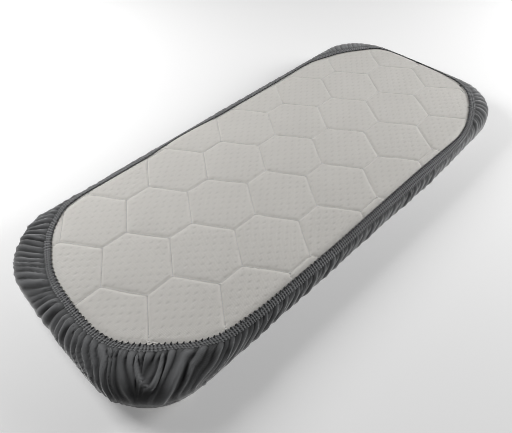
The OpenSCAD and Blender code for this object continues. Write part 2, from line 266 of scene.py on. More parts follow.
class Outline:
    """The mattress's plan, walked anticlockwise from the far end.

    Distances along it are measured at reach from the corners' centres.
    """

    def __init__(self, sizes, reach):
        self.half_x = sizes.length / 2 - sizes.corner
        self.half_y = sizes.width / 2 - sizes.corner
        self.reach = reach
        hx, hy, quarter = self.half_x, self.half_y, reach * math.pi / 2
        self.centres = np.array([(hx, hy), (-hx, hy), (-hx, -hy), (hx, -hy)])
        self.starts = np.cumsum([0, 2 * hy, quarter, 2 * hx, quarter, 2 * hy, quarter, 2 * hx, quarter])
        self.total = self.starts[-1]

    def at(self, s):
        """Base points and outward normals at distances s."""
        s = np.mod(s, self.total)
        part = np.clip(np.searchsorted(self.starts, s, side="right") - 1, 0, 7)
        along = s - self.starts[part]
        side = part // 2
        straight = part % 2 == 0
        angle = side * math.pi / 2 + np.where(straight, 0, along / self.reach)
        normal = np.stack([np.cos(angle), np.sin(angle)], -1)
        start = self.centres[(side + 3) % 4]
        tangent = np.stack([-np.sin(side * math.pi / 2), np.cos(side * math.pi / 2)], -1)
        base = np.where(straight[..., None], start + tangent * along[..., None], self.centres[side])
        return base, normal

    def find(self, x, y):
        """Distance along the outline, and distance out from the corners' centres, of points in plan."""
        bx = np.clip(x, -self.half_x, self.half_x)
        by = np.clip(y, -self.half_y, self.half_y)
        dx, dy = x - bx, y - by
        reach = np.hypot(dx, dy)
        angle = np.mod(np.arctan2(dy, dx), TAU)
        side = np.floor(angle / (math.pi / 2) + 1e-9).astype(int) % 4
        inside = angle - side * math.pi / 2
        corner_s = self.starts[2 * side + 1] + inside * self.reach
        start = self.centres[(side + 3) % 4]
        tangent_x = -np.sin(side * math.pi / 2)
        tangent_y = np.cos(side * math.pi / 2)
        along = (bx - start[..., 0]) * tangent_x + (by - start[..., 1]) * tangent_y
        on_straight = inside < 1e-6
        s = np.where(on_straight, self.starts[2 * side] + along, corner_s)
        return np.mod(s, self.total), reach


def hem_outline():
    """The outline, with distances measured about where the hem lies."""
    sizes = bpy.context.scene.mattress_sizes
    return Outline(sizes, sizes.corner - HEM_INSET)


def by_place(outline, rows):
    """A list's places as distances along the outline, in order, and its columns of values there."""
    places = np.array([row[0] for row in rows]) * MM
    where, _reach = outline.find(places[:, 0], places[:, 1])
    order = np.argsort(where)
    return where[order], np.array([row[1:] for row in rows])[order].T


class Section:
    """A rounded section from the middle of the top, over the edge and round to the middle of the bottom."""

    def __init__(self, start_r, top, bottom, radius, steps=240):
        angles = np.linspace(0, math.pi / 2, steps)
        sine, cosine = radius * np.sin(angles), radius * np.cos(angles)
        upper = np.stack([start_r + sine, top - radius + cosine], -1)
        lower = np.stack([start_r + cosine, bottom + radius - sine], -1)
        points = np.concatenate([[[0, top]], upper, lower, [[0, bottom]]])
        step = np.hypot(*np.diff(points, axis=0).T)
        keep = np.concatenate([[True], step > 1e-9])
        points = points[keep]
        self.points = points
        self.run = np.concatenate([[0], np.cumsum(np.hypot(*np.diff(points, axis=0).T))])
        self.total = self.run[-1]
        self.top_run = start_r + radius * math.pi / 2
        tangent = np.gradient(points, self.run, axis=0)
        tangent /= np.linalg.norm(tangent, axis=1)[:, None]
        self.normals = np.stack([-tangent[:, 1], tangent[:, 0]], -1)

    def at(self, run):
        r = np.interp(run, self.run, self.points[:, 0])
        z = np.interp(run, self.run, self.points[:, 1])
        nr = np.interp(run, self.run, self.normals[:, 0])
        nz = np.interp(run, self.run, self.normals[:, 1])
        size = np.hypot(nr, nz)
        return r, z, nr / size, nz / size

    def run_at_reach(self, reach):
        upper = self.run <= self.top_run
        return np.interp(reach, self.points[upper, 0], self.run[upper])

    def turned(self, run):
        """0 on the top, 1 where the section has turned to face straight down."""
        _r, _z, _nr, nz = self.at(run)
        return 0.5 - 0.5 * nz


def blurred(line, step, width):
    """A closed line of values, smoothed over a width."""
    waves = np.fft.rfftfreq(len(line), step)
    return np.fft.irfft(np.fft.rfft(line) * np.exp(-2 * (math.pi * width * waves) ** 2), len(line))


def hem_reach(outline, s):
    """How far out the hem's free edge lies at distances s along the outline."""
    points = np.array(HEM_EDGE + HEM_EDGE[:1]) * MM
    run = np.concatenate([[0], np.cumsum(np.hypot(*np.diff(points, axis=0).T))])
    count = 4096
    even = np.arange(count) / count * run[-1]
    line = [blurred(np.interp(even, run, points[:, k]), run[-1] / count, 9 * MM) for k in (0, 1)]
    where, reach = outline.find(line[0], line[1])
    order = np.argsort(where)
    return np.interp(np.mod(s, outline.total), where[order], reach[order], period=outline.total)


class Sheet:
    """The sheet's smooth form: stations along the outline, and where down the section each hem starts."""

    def __init__(self, columns):
        sizes, cloth = bpy.context.scene.mattress_sizes, bpy.context.scene.mattress_sheet
        self.outline = hem_outline()
        fold_room = 2.4 * MM
        start = sizes.corner - fold_room - sizes.edge
        top, bottom = sizes.height - 1.4 * MM, 0.5 * MM
        self.section = Section(start, top, bottom, sizes.edge)
        self.hem = cloth.hem
        self.along = np.arange(columns) / columns * self.outline.total
        self.stand(self.along)
        edge = self.base + self.normal * self.reach[:, None]
        step = np.linalg.norm(np.roll(edge, -1, 0) - edge, axis=1)
        self.hem_total = step.sum()
        self.hem_along = np.concatenate([[0], np.cumsum(step)[:-1]])

    def stand(self, s):
        """Take stations s: one for each column, or one for each row and column."""
        self.s = s
        self.base, self.normal = self.outline.at(s)
        self.reach = hem_reach(self.outline, s)
        self.start = self.section.run_at_reach(self.reach)
        where, (depth,) = by_place(self.outline, BELLY)
        self.belly = np.interp(s, where, depth * MM, period=self.outline.total)

    def underneath(self, down):
        return self.section.turned(down + self.start + self.hem)

    def place(self, run, lift):
        """Points at distances run down the section (rows by columns), lifted off the smooth form."""
        r, z, nr, nz = self.section.at(run)
        out = r + nr * lift + self.belly * ease(0.02, 0.30, 0.5 - 0.5 * nz)
        x = self.base[..., 0] + self.normal[..., 0] * out
        y = self.base[..., 1] + self.normal[..., 1] * out
        return np.stack([x, y, z + nz * lift], -1)


# ---------------------------------------------------------------- materials

class Nodes:
    """Short calls for building a material's nodes."""

    def __init__(self, name):
        self.material = bpy.data.materials.new(name)
        self.material.use_nodes = True
        self.tree = self.material.node_tree
        self.shader = self.tree.nodes["Principled BSDF"]

    def link(self, a, b):
        self.tree.links.new(a, b)

    def add(self, kind, **values):
        node = self.tree.nodes.new(kind)
        for key, value in values.items():
            setattr(node, key, value)
        return node

    def math(self, operation, a, b=None, c=None):
        node = self.add("ShaderNodeMath", operation=operation)
        for socket, value in zip(node.inputs, (a, b, c)):
            if value is None:
                continue
            if isinstance(value, (int, float)):
                socket.default_value = value
            else:
                self.link(value, socket)
        return node.outputs[0]

    def place(self, uv=False):
        node = self.add("ShaderNodeTexCoord")
        out = node.outputs["UV"] if uv else node.outputs["Object"]
        split = self.add("ShaderNodeSeparateXYZ")
        self.link(out, split.inputs[0])
        return out, split.outputs[0], split.outputs[1]

    def noise(self, vector, scale, detail=2.0, roughness=0.5):
        node = self.add("ShaderNodeTexNoise")
        node.inputs["Scale"].default_value = scale
        node.inputs["Detail"].default_value = detail
        node.inputs["Roughness"].default_value = roughness
        self.link(vector, node.inputs["Vector"])
        return node.outputs["Fac"]

    def wave(self, value, pitch):
        """A sine of the given pitch, from 0 to 1."""
        turned = self.math("SINE", self.math("MULTIPLY", value, TAU / pitch))
        return self.math("MULTIPLY_ADD", turned, 0.5, 0.5)

    def tint(self, fac, dark, light):
        ramp = self.add("ShaderNodeMix", data_type="RGBA")
        self.link(fac, ramp.inputs["Factor"])
        ramp.inputs["A"].default_value = (*dark, 1)
        ramp.inputs["B"].default_value = (*light, 1)
        self.link(ramp.outputs["Result"], self.shader.inputs["Base Color"])
        return ramp.outputs["Result"]

    def bump(self, height, distance, strength=1.0, under=None):
        node = self.add("ShaderNodeBump")
        node.inputs["Distance"].default_value = distance
        node.inputs["Strength"].default_value = strength
        self.link(height, node.inputs["Height"])
        if under is not None:
            self.link(under, node.inputs["Normal"])
        self.link(node.outputs[0], self.shader.inputs["Normal"])
        return node.outputs[0]

    def finish(self, roughness, sheen=0.0, sheen_roughness=0.4, specular=0.3, metallic=0.0):
        self.shader.inputs["Roughness"].default_value = roughness
        self.shader.inputs["Sheen Weight"].default_value = sheen
        self.shader.inputs["Sheen Roughness"].default_value = sheen_roughness
        self.shader.inputs["Specular IOR Level"].default_value = specular
        self.shader.inputs["Metallic"].default_value = metallic
        return self.material


def shade(rgb, factor):
    return tuple(min(1.0, c * factor) for c in rgb)


def knit(n, x, y, wale, course):
    """Height of a plain knit: columns of V-shaped stitches."""
    lean = n.math("MULTIPLY", n.math("PINGPONG", n.math("DIVIDE", x, wale), 0.5), wale * 1.2)
    rows = n.wave(n.math("ADD", y, lean), course)
    columns = n.math("PINGPONG", n.math("DIVIDE", x, wale), 0.5)
    return n.math("MULTIPLY", rows, n.math("MULTIPLY_ADD", columns, 1.4, 0.3))


def ticking_material(rgb):
    n = Nodes("quilted_ticking")
    vector, x, y = n.place()
    row = n.math("DIVIDE", y, DIMPLE_ROW)
    shift = n.math("MULTIPLY", n.math("PINGPONG", n.math("FLOOR", row), 1.0), 0.5)
    u = n.math("SUBTRACT", n.math("FRACT", n.math("ADD", n.math("DIVIDE", x, DIMPLE_PITCH), shift)), 0.5)
    v = n.math("SUBTRACT", n.math("FRACT", row), 0.5)
    du = n.math("POWER", n.math("MULTIPLY", u, 2 * DIMPLE_PITCH / DIMPLE_L), 2.0)
    dv = n.math("POWER", n.math("MULTIPLY", v, 2 * DIMPLE_ROW / DIMPLE_W), 2.0)
    dimple = n.math("EXPONENT", n.math("MULTIPLY", n.math("ADD", du, dv), -1.0))
    uneven = n.noise(vector, 60.0, 2.0)
    dimple = n.math("MULTIPLY", dimple, n.math("MULTIPLY_ADD", uneven, 1.6, 0.1))
    stitches = knit(n, x, y, 1.25 * MM, 1.1 * MM)
    cloudy = n.noise(vector, 14.0, 3.0)
    painted_seam_highlight = n.add("ShaderNodeAttribute", attribute_name="crest_and_painted_light").outputs["Fac"]
    # the knit's texture is real colour; the dimples are also painted darker, painted shade in them
    fac = n.math("SUBTRACT", n.math("MULTIPLY_ADD", stitches, 0.13, 0.49), n.math("MULTIPLY", dimple, 0.19))
    fac = n.math("ADD", fac, n.math("MULTIPLY_ADD", cloudy, 0.24, -0.12))
    # painted highlight: the ticking is painted paler along the quilting seams
    fac = n.math("MULTIPLY_ADD", painted_seam_highlight, 0.42, fac)
    n.tint(fac, shade(rgb, 0.78), shade(rgb, 1.16))
    soft = n.noise(vector, 240.0, 2.0)
    coarse = n.bump(n.math("MULTIPLY_ADD", soft, 0.25, n.math("MULTIPLY", dimple, -0.5)), 0.38 * MM, 0.9)
    n.bump(stitches, 0.22 * MM, 0.8, coarse)
    return n.finish(0.92, sheen=0.12, sheen_roughness=0.5, specular=0.15)


def jersey_material(name, rgb, wale, sheen):
    """Jersey with painted light from the point attribute: a painted highlight along the folds' tops and
    painted shade in the valleys between them.
    """
    n = Nodes(name)
    vector, u, v = n.place(uv=True)
    stitches = knit(n, u, v, wale, wale * 0.8)
    cloudy = n.noise(vector, 40.0, 3.0)
    crest_and_painted_light = n.add("ShaderNodeAttribute", attribute_name="crest_and_painted_light").outputs["Fac"]
    fac = n.math("MULTIPLY_ADD", cloudy, 0.24, n.math("MULTIPLY", stitches, 0.14))
    # painted light: the attribute lifts the colour towards the pale end on the folds' tops (painted
    # highlight) and drops it towards the dark end in the valleys (painted shade)
    fac = n.math("MULTIPLY_ADD", crest_and_painted_light, 0.80, n.math("ADD", fac, -0.06))
    n.tint(fac, shade(rgb, 0.22), shade(rgb, 1.75))
    n.bump(stitches, 0.12 * MM, 0.5)
    return n.finish(0.88, sheen=sheen, sheen_roughness=0.35, specular=0.25)


def thread_material(name, rgb, sheen=0.2):
    n = Nodes(name)
    vector, _x, _y = n.place()
    twist = n.noise(vector, 2200.0, 1.0)
    n.tint(twist, shade(rgb, 0.7), shade(rgb, 1.25))
    n.bump(twist, 0.08 * MM, 0.7)
    return n.finish(0.7, sheen=sheen, specular=0.3)


def foam_material(name, rgb, cell):
    n = Nodes(name)
    vector, _x, _y = n.place()
    pores = n.add("ShaderNodeTexVoronoi")
    pores.inputs["Scale"].default_value = 1 / cell
    n.link(vector, pores.inputs["Vector"])
    cloudy = n.noise(vector, 30.0, 3.0)
    fac = n.math("MULTIPLY_ADD", cloudy, 0.5, n.math("MULTIPLY", pores.outputs["Distance"], 0.7))
    n.tint(fac, shade(rgb, 0.82), shade(rgb, 1.05))
    n.bump(pores.outputs["Distance"], 0.4 * MM, 0.7)
    return n.finish(0.95, specular=0.1)


def fibre_material(name, rgb, scale, sheen=0.3):
    """Wadding and non-woven cloth: tangled fibres."""
    n = Nodes(name)
    vector, _x, _y = n.place()
    warp = n.add("ShaderNodeTexWave")
    warp.inputs["Scale"].default_value = scale
    warp.inputs["Distortion"].default_value = 18.0
    warp.inputs["Detail"].default_value = 3.0
    n.link(vector, warp.inputs["Vector"])
    n.tint(warp.outputs["Fac"], shade(rgb, 0.88), shade(rgb, 1.04))
    n.bump(warp.outputs["Fac"], 0.3 * MM, 0.6)
    return n.finish(0.95, sheen=sheen, specular=0.1)


def weave_material(name, rgb, pitch, roughness=0.8, specular=0.3):
    n = Nodes(name)
    vector, x, _y = n.place()
    split = n.add("ShaderNodeSeparateXYZ")
    n.link(vector, split.inputs[0])
    across = n.wave(x, pitch)
    along = n.wave(split.outputs[2], pitch * 0.8)
    cloth = n.math("MULTIPLY", across, along)
    n.tint(cloth, shade(rgb, 0.8), shade(rgb, 1.05))
    n.bump(cloth, 0.12 * MM, 0.7)
    return n.finish(roughness, sheen=0.1, specular=specular)


def metal_material(name, rgb):
    n = Nodes(name)
    vector, _x, _y = n.place()
    grain = n.noise(vector, 900.0, 3.0, 0.6)
    n.tint(grain, shade(rgb, 0.85), shade(rgb, 1.05))
    n.bump(grain, 0.02 * MM, 0.4)
    return n.finish(0.38, specular=0.5, metallic=1.0)


def plastic_material(name, rgb):
    n = Nodes(name)
    vector, _x, _y = n.place()
    grain = n.noise(vector, 500.0, 2.0)
    n.tint(grain, shade(rgb, 0.93), shade(rgb, 1.03))
    n.bump(grain, 0.03 * MM, 0.3)
    return n.finish(0.42, specular=0.5)


def ticking():
    """The ticking's material, made once and shared."""
    rgb = bpy.context.scene.mattress_colours.ticking
    return bpy.data.materials.get("quilted_ticking") or ticking_material(rgb)


def dress(material, *nodes):
    """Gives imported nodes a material."""
    for name in nodes:
        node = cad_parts[name]
        node.data.materials.clear()
        node.data.materials.append(material)


def add_piece(piece):
    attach(piece, BODY)
    return piece


# ---------------------------------------------------------------- the quilted underside

def hexagon_depth(x, y):
    """Distance in from the nearest hexagon edge."""
    sizes = bpy.context.scene.mattress_sizes
    b, c, w = sizes.hex_edge, sizes.hex_slant, sizes.hex_half
    row, slant = b + c, math.hypot(w, c)
    first = np.floor((x - sizes.hex_x) / row)
    best = np.full(np.shape(x), -1.0)
    for i in (first, first + 1):
        dx = x - sizes.hex_x - i * row
        shift = np.where(np.mod(i, 2) == 0, 0, w)
        dy = y - sizes.hex_y - shift
        dy -= np.round(dy / (2 * w)) * 2 * w
        flat = w - np.abs(dy)
        slope = (w * (b / 2 + c) - w * np.abs(dx) - c * np.abs(dy)) / slant
        best = np.maximum(best, np.minimum(flat, slope))
    return np.maximum(best, 0)


def dimples(x, y):
    """Depth, from 0 to 1, of the dimples that the ticking's knit leaves in staggered rows."""
    row = y / DIMPLE_ROW
    u = np.mod(x / DIMPLE_PITCH + 0.5 * np.mod(np.floor(row), 2), 1) - 0.5
    v = np.mod(row, 1) - 0.5
    return np.exp(-(u * DIMPLE_PITCH / (DIMPLE_L / 2)) ** 2 - (v * DIMPLE_ROW / (DIMPLE_W / 2)) ** 2)


def seam_wander(x, y, axis):
    """How far a quilting seam strays, along the mattress for axis 0 and across it for axis 1."""
    return 0.9 * MM * value_noise(x, y, 45 * MM, 3 + axis)


def crease_depth(x, y):
    """Distance to the nearest quilting seam."""
    return hexagon_depth(x + seam_wander(x, y, 0), y + seam_wander(x, y, 1))


def edge_fall(r):
    """How far the cover's rounded edge has dropped at reach r from the corners' centres."""
    sizes = bpy.context.scene.mattress_sizes
    edge_start = sizes.corner - sizes.edge - 1.0 * MM
    radius = sizes.edge - 2.3 * MM
    over = np.clip(r - edge_start, 0, radius * 0.98)
    return radius - np.sqrt(radius ** 2 - over ** 2)


def quilted_height(x, y):
    """Height of the underside's ticking: pressed down under the sheet, puffed where it is free."""
    sizes = bpy.context.scene.mattress_sizes
    outline = hem_outline()
    s, r = outline.find(x, y)
    free = hem_reach(outline, s) - r
    free = np.where(r < 1e-9, 1.0, free)
    under_sheet = sizes.height - 2.4 * MM
    depth = crease_depth(x, y)
    steep, broad = 1 - np.exp(-depth / (1.6 * MM)), 1 - np.exp(-depth / (16 * MM))
    puff = sizes.puff * (0.68 * steep + 0.32 * broad)
    puff *= 1 - 0.5 * ease(0.05, 0.36, x + 0.4 * y)
    rumple = 0.16 * MM * value_noise(x, y, 7 * MM, 5) * np.exp(-depth / (9 * MM))
    rumple += 0.14 * MM * value_noise(x, y, 30 * MM, 6)
    rumple -= 0.34 * MM * dimples(x, y) * (0.75 + 0.45 * value_noise(x, y, 13 * MM, 8))
    lift = ease(-9 * MM, 9 * MM, free)
    pressed = ease(-6 * MM, 0, free) * 0.25 * MM
    return under_sheet - edge_fall(r) + pressed + (puff + rumple - 0.2 * MM) * lift


def quilted_panel(material):
    """A closed pad: the quilted ticking on top, and its smooth back, in a grid bent to the outline."""
    sizes = bpy.context.scene.mattress_sizes
    reach = sizes.corner - 4.6 * MM
    half_x, half_y = sizes.length / 2 - sizes.corner, sizes.width / 2 - sizes.corner
    step, coarse = 1.2 * MM, 4
    crowding = 0.72  # from 0, even rows, towards 1, rows that crowd at the long sides
    columns = int(2 * (half_x + reach) / step / coarse) * coarse + 1
    rows = int(2 * (half_y + reach) / step / coarse) * coarse + 1
    t = np.linspace(-1, 1, rows)
    y = (half_y + reach) * np.sin(t * math.pi / 2 * crowding) / math.sin(math.pi / 2 * crowding)
    over = np.clip(np.abs(y) - half_y, 0, reach)
    end = half_x + np.sqrt(np.maximum(reach ** 2 - over ** 2, 0))
    x = np.linspace(-1, 1, columns)[None, :] * end[:, None]
    y = np.repeat(y[:, None], columns, 1)
    top = np.stack([x, y, quilted_height(x, y)], -1)
    back_x, back_y = x[::coarse, ::coarse], y[::coarse, ::coarse]
    _s, r = Outline(sizes, reach).find(back_x, back_y)
    back_z = WADDING_TOP + 0.05 * MM - edge_fall(r)
    back = np.stack([back_x, back_y, back_z], -1)
    points = np.concatenate([top.reshape(-1, 3), back.reshape(-1, 3)])
    # painted highlight along the quilting seams, kept for the ticking's material
    painted_seam_highlight = np.exp(-(crease_depth(x, y).ravel() / (1.5 * MM)) ** 2)
    crest_and_painted_light = np.concatenate([painted_seam_highlight, np.zeros(back_x.size)])
    rows_b, columns_b = back.shape[:2]
    offset = rows * columns
    faces = []
    for j in range(rows - 1):
        for i in range(columns - 1):
            a = j * columns + i
            faces.append((a, a + 1, a + columns + 1, a + columns))
    for j in range(rows_b - 1):
        for i in range(columns_b - 1):
            a = offset + j * columns_b + i
            faces.append((a, a + columns_b, a + columns_b + 1, a + 1))

    def rim(top_ids, back_ids):
        for k in range(len(back_ids) - 1):
            upper = top_ids[k * coarse: (k + 1) * coarse + 1]
            faces.append((back_ids[k], back_ids[k + 1], *reversed(upper)))

    top_id = np.arange(rows * columns).reshape(rows, columns).tolist()
    back_id = (offset + np.arange(rows_b * columns_b)).reshape(rows_b, columns_b).tolist()
    rim(top_id[0], back_id[0])
    rim([r[-1] for r in top_id], [r[-1] for r in back_id])
    rim(top_id[-1][::-1], back_id[-1][::-1])
    rim([r[0] for r in top_id][::-1], [r[0] for r in back_id][::-1])
    return new_piece("underside_quilted_ticking", points, faces, material, crest_and_painted_light=crest_and_painted_light)


def quilting_lines():
    """The hexagons' edges inside the sheet's opening, as runs of points on the ticking."""
    sizes = bpy.context.scene.mattress_sizes
    b, c, w = sizes.hex_edge, sizes.hex_slant, sizes.hex_half
    outline = hem_outline()
    runs = []
    for i in range(-7, 8):
        for j in range(-3, 4):
            x = sizes.hex_x + i * (b + c)
            y = sizes.hex_y + j * 2 * w + (0 if i % 2 == 0 else w)
            corners = [((x - b / 2, y + w), (x + b / 2, y + w))]
            corners += [((x + b / 2, y + k * w), (x + b / 2 + c, y)) for k in (-1, 1)]
            for start, end in corners:
                start, end = np.array(start), np.array(end)
                count = int(np.linalg.norm(end - start) / (2 * MM)) + 1
                line = start + (end - start) * np.linspace(0, 1, count)[:, None]
                for axis in (0, 1):
                    line[:, axis] -= seam_wander(line[:, 0], line[:, 1], axis)
                s, r = outline.find(line[:, 0], line[:, 1])
                inside = (r < hem_reach(outline, s) + 3 * MM) & (np.abs(line[:, 0]) < sizes.length / 2)
                if inside.sum() > 2:
                    line = line[inside]
                    near = 0.7 * MM
                    z = quilted_height(line[:, 0] + near, line[:, 1] + near) / 2 + 0.55 * MM
                    z += quilted_height(line[:, 0] - near, line[:, 1] - near) / 2
                    runs.append(np.column_stack([line, z]))
    return runs


# The stitch tree: its nodes, the values set on them, and its links from node, socket to node, socket
STITCH_NODES = {
    "inputs": "NodeGroupInput", "outputs": "NodeGroupOutput", "curve": "GeometryNodeMeshToCurve",
    "resample": "GeometryNodeResampleCurve", "tangent": "GeometryNodeInputTangent",
    "keep": "GeometryNodeCaptureAttribute", "stitch": "GeometryNodeMeshUVSphere",
    "lay": "GeometryNodeInstanceOnPoints", "align": "FunctionNodeAlignRotationToVector",
    "turn": "FunctionNodeRotateRotation", "lean": "FunctionNodeAxisAngleToRotation",
    "chance": "FunctionNodeRandomValue", "centre": "ShaderNodeMath", "spread": "ShaderNodeMath",
    "flat": "ShaderNodeMath", "size": "ShaderNodeCombineXYZ", "real": "GeometryNodeRealizeInstances",
    "smooth": "GeometryNodeSetShadeSmooth", "dress": "GeometryNodeSetMaterial",
}
STITCH_MODES = [
    ("resample", "mode", "LENGTH"), ("align", "axis", "X"), ("align", "pivot_axis", "Z"),
    ("turn", "rotation_space", "LOCAL"), ("chance", "data_type", "FLOAT"), ("flat", "operation", "MULTIPLY"),
    ("spread", "operation", "MULTIPLY_ADD"), ("centre", "operation", "MULTIPLY_ADD"),
]
STITCH_VALUES = [
    ("stitch", "Segments", 6), ("stitch", "Rings", 4), ("stitch", "Radius", 0.5),
    ("lean", "Axis", (0, 0, 1)), ("chance", "Seed", 11), ("centre", 1, 2.0), ("centre", 2, -1.0),
]
STITCH_LINKS = [
    ("inputs", "Geometry", "curve", 0), ("curve", 0, "resample", "Curve"),
    ("inputs", "Pitch", "resample", "Length"), ("resample", 0, "keep", "Geometry"),
    ("tangent", 0, "keep", "tangent"), ("keep", "Geometry", "lay", "Points"),
    ("stitch", "Mesh", "lay", "Instance"), ("keep", "tangent", "align", "Vector"),
    ("align", 0, "turn", "Rotation"), ("inputs", "Lean", "spread", 2),
    ("inputs", "Unevenness", "spread", 0), ("chance", 1, "centre", 0), ("centre", 0, "spread", 1),
    ("spread", 0, "lean", "Angle"), ("lean", 0, "turn", "Rotate By"), ("turn", 0, "lay", "Rotation"),
    ("inputs", "Stitch length", "size", 0), ("inputs", "Thickness", "size", 1),
    ("inputs", "Thickness", "flat", 0), ("inputs", "Flatness", "flat", 1), ("flat", 0, "size", 2),
    ("size", 0, "lay", "Scale"), ("lay", 0, "real", 0), ("real", 0, "smooth", 0),
    ("smooth", 0, "dress", "Geometry"), ("inputs", "Material", "dress", "Material"),
    ("dress", 0, "outputs", 0),
]


def stitch_tree(name):
    """Geometry nodes that lay a rounded stitch along every run of edges."""
    tree = bpy.data.node_groups.new(name, "GeometryNodeTree")
    face = tree.interface
    face.new_socket("Geometry", in_out="INPUT", socket_type="NodeSocketGeometry")
    sockets = {}
    for label, value in (("Pitch", 0.0034), ("Stitch length", 0.0026), ("Thickness", 0.0005),
                         ("Flatness", 0.7), ("Lean", 0.0), ("Unevenness", 0.06)):
        socket = face.new_socket(label, in_out="INPUT", socket_type="NodeSocketFloat")
        socket.default_value = value
        sockets[label] = socket.identifier
    socket = face.new_socket("Material", in_out="INPUT", socket_type="NodeSocketMaterial")
    sockets["Material"] = socket.identifier
    face.new_socket("Geometry", in_out="OUTPUT", socket_type="NodeSocketGeometry")
    nodes = {key: tree.nodes.new(kind) for key, kind in STITCH_NODES.items()}
    nodes["keep"].capture_items.new("VECTOR", "tangent")
    for key, mode, value in STITCH_MODES:
        setattr(nodes[key], mode, value)
    for key, socket, value in STITCH_VALUES:
        nodes[key].inputs[socket].default_value = value
    for start, out, end, into in STITCH_LINKS:
        tree.links.new(nodes[start].outputs[out], nodes[end].inputs[into])
    return tree, sockets


def stitched_runs(name, runs, material, closed=False, **values):
    """A piece of thread: stitches along runs of points, as a plain mesh."""
    points, edges = [], []
    for run in runs:
        first = len(points)
        points += [tuple(p) for p in run]
        edges += [(first + k, first + k + 1) for k in range(len(run) - 1)]
        if closed:
            edges.append((len(points) - 1, first))
    mesh = bpy.data.meshes.new(name)
    mesh.from_pydata(points, edges, [])
    piece = bpy.data.objects.new(name, mesh)
    bpy.context.scene.collection.objects.link(piece)
    tree, sockets = stitch_tree(name + "_nodes")
    modifier = piece.modifiers.new("stitches", "NODES")
    modifier.node_group = tree
    modifier[sockets["Material"]] = material
    for label, value in values.items():
        modifier[sockets[label.replace("_", " ").capitalize()]] = value
    bpy.context.view_layer.update()
    return solid_mesh(piece)


# ---------------------------------------------------------------- the fitted sheet

def periodic_noise(along, total, cell, seed):
    """Smooth noise along a closed line."""
    cells = max(3, int(round(total / cell)))
    return value_noise(along / total * cells, np.zeros_like(along) + seed * 3.7, 1.0, seed, cells)


def crests(phase, sharpness):
    """Rounded crests, one to each whole number of phase."""
    return (0.5 + 0.5 * np.cos(TAU * phase)) ** sharpness


def fold_habit(sheet):
    """At every station, the folds' lean, the share of them that the wall keeps, and their height."""
    where, habits = by_place(sheet.outline, FOLDS)
    return [np.interp(sheet.s, where, habit, period=sheet.outline.total) for habit in habits]


def smooth_lean(sheet, width):
    """The folds' lean at every station, smoothed along the outline over a width."""
    where, habits = by_place(sheet.outline, FOLDS)
    total = sheet.outline.total
    even = np.interp(sheet.along, where, habits[0], period=total)
    return np.interp(sheet.s, sheet.along, blurred(even, sheet.along[1], width), period=total)


def beside(sheet, down, path):
    """Distance to a fold's path, less than nothing on its clockwise side, and how far along the path."""
    points = np.array(path) * MM
    s, q = sheet.s, down
    nearest, side, run = np.full(s.shape, 1.0), np.zeros(s.shape), np.zeros(s.shape)
    for k in range(len(points) - 1):
        (s0, q0), (s1, q1) = points[k], points[k + 1]
        ds, dq = s1 - s0, q1 - q0
        t = np.clip(((s - s0) * ds + (q - q0) * dq) / (ds * ds + dq * dq), 0, 1)
        away_s, away_q = s - s0 - t * ds, q - q0 - t * dq
        gap = np.hypot(away_s, away_q)
        closer = gap < nearest
        nearest = np.where(closer, gap, nearest)
        side = np.where(closer, away_s * dq - away_q * ds, side)
        run = np.where(closer, (k + t) / (len(points) - 1), run)
    return np.where(side < 0, -nearest, nearest), run


def big_folds(sheet, down, below):
    """How near the two large folds are, and how much of their height stands at every point, from 0 to 1."""
    loop, _run = beside(sheet, down, LOOP_FOLD)
    ridge, run = beside(sheet, down, LONG_FOLD)
    near = np.exp(-(np.minimum(np.abs(loop), np.abs(ridge)) / (6 * MM)) ** 2) * ease(0, 9 * MM, below)
    flank = np.where(ridge < 0, 6.5 * MM, 1.5 * MM)
    slope = np.exp(-(np.abs(ridge) / flank) ** 1.3) * (1 - 0.5 * ease(0.8, 1.0, run))
    bend = np.exp(-(np.abs(loop) / (2.5 * MM)) ** 1.8)
    return near, np.maximum(bend, slope) * ease(-2 * MM, 6 * MM, down)


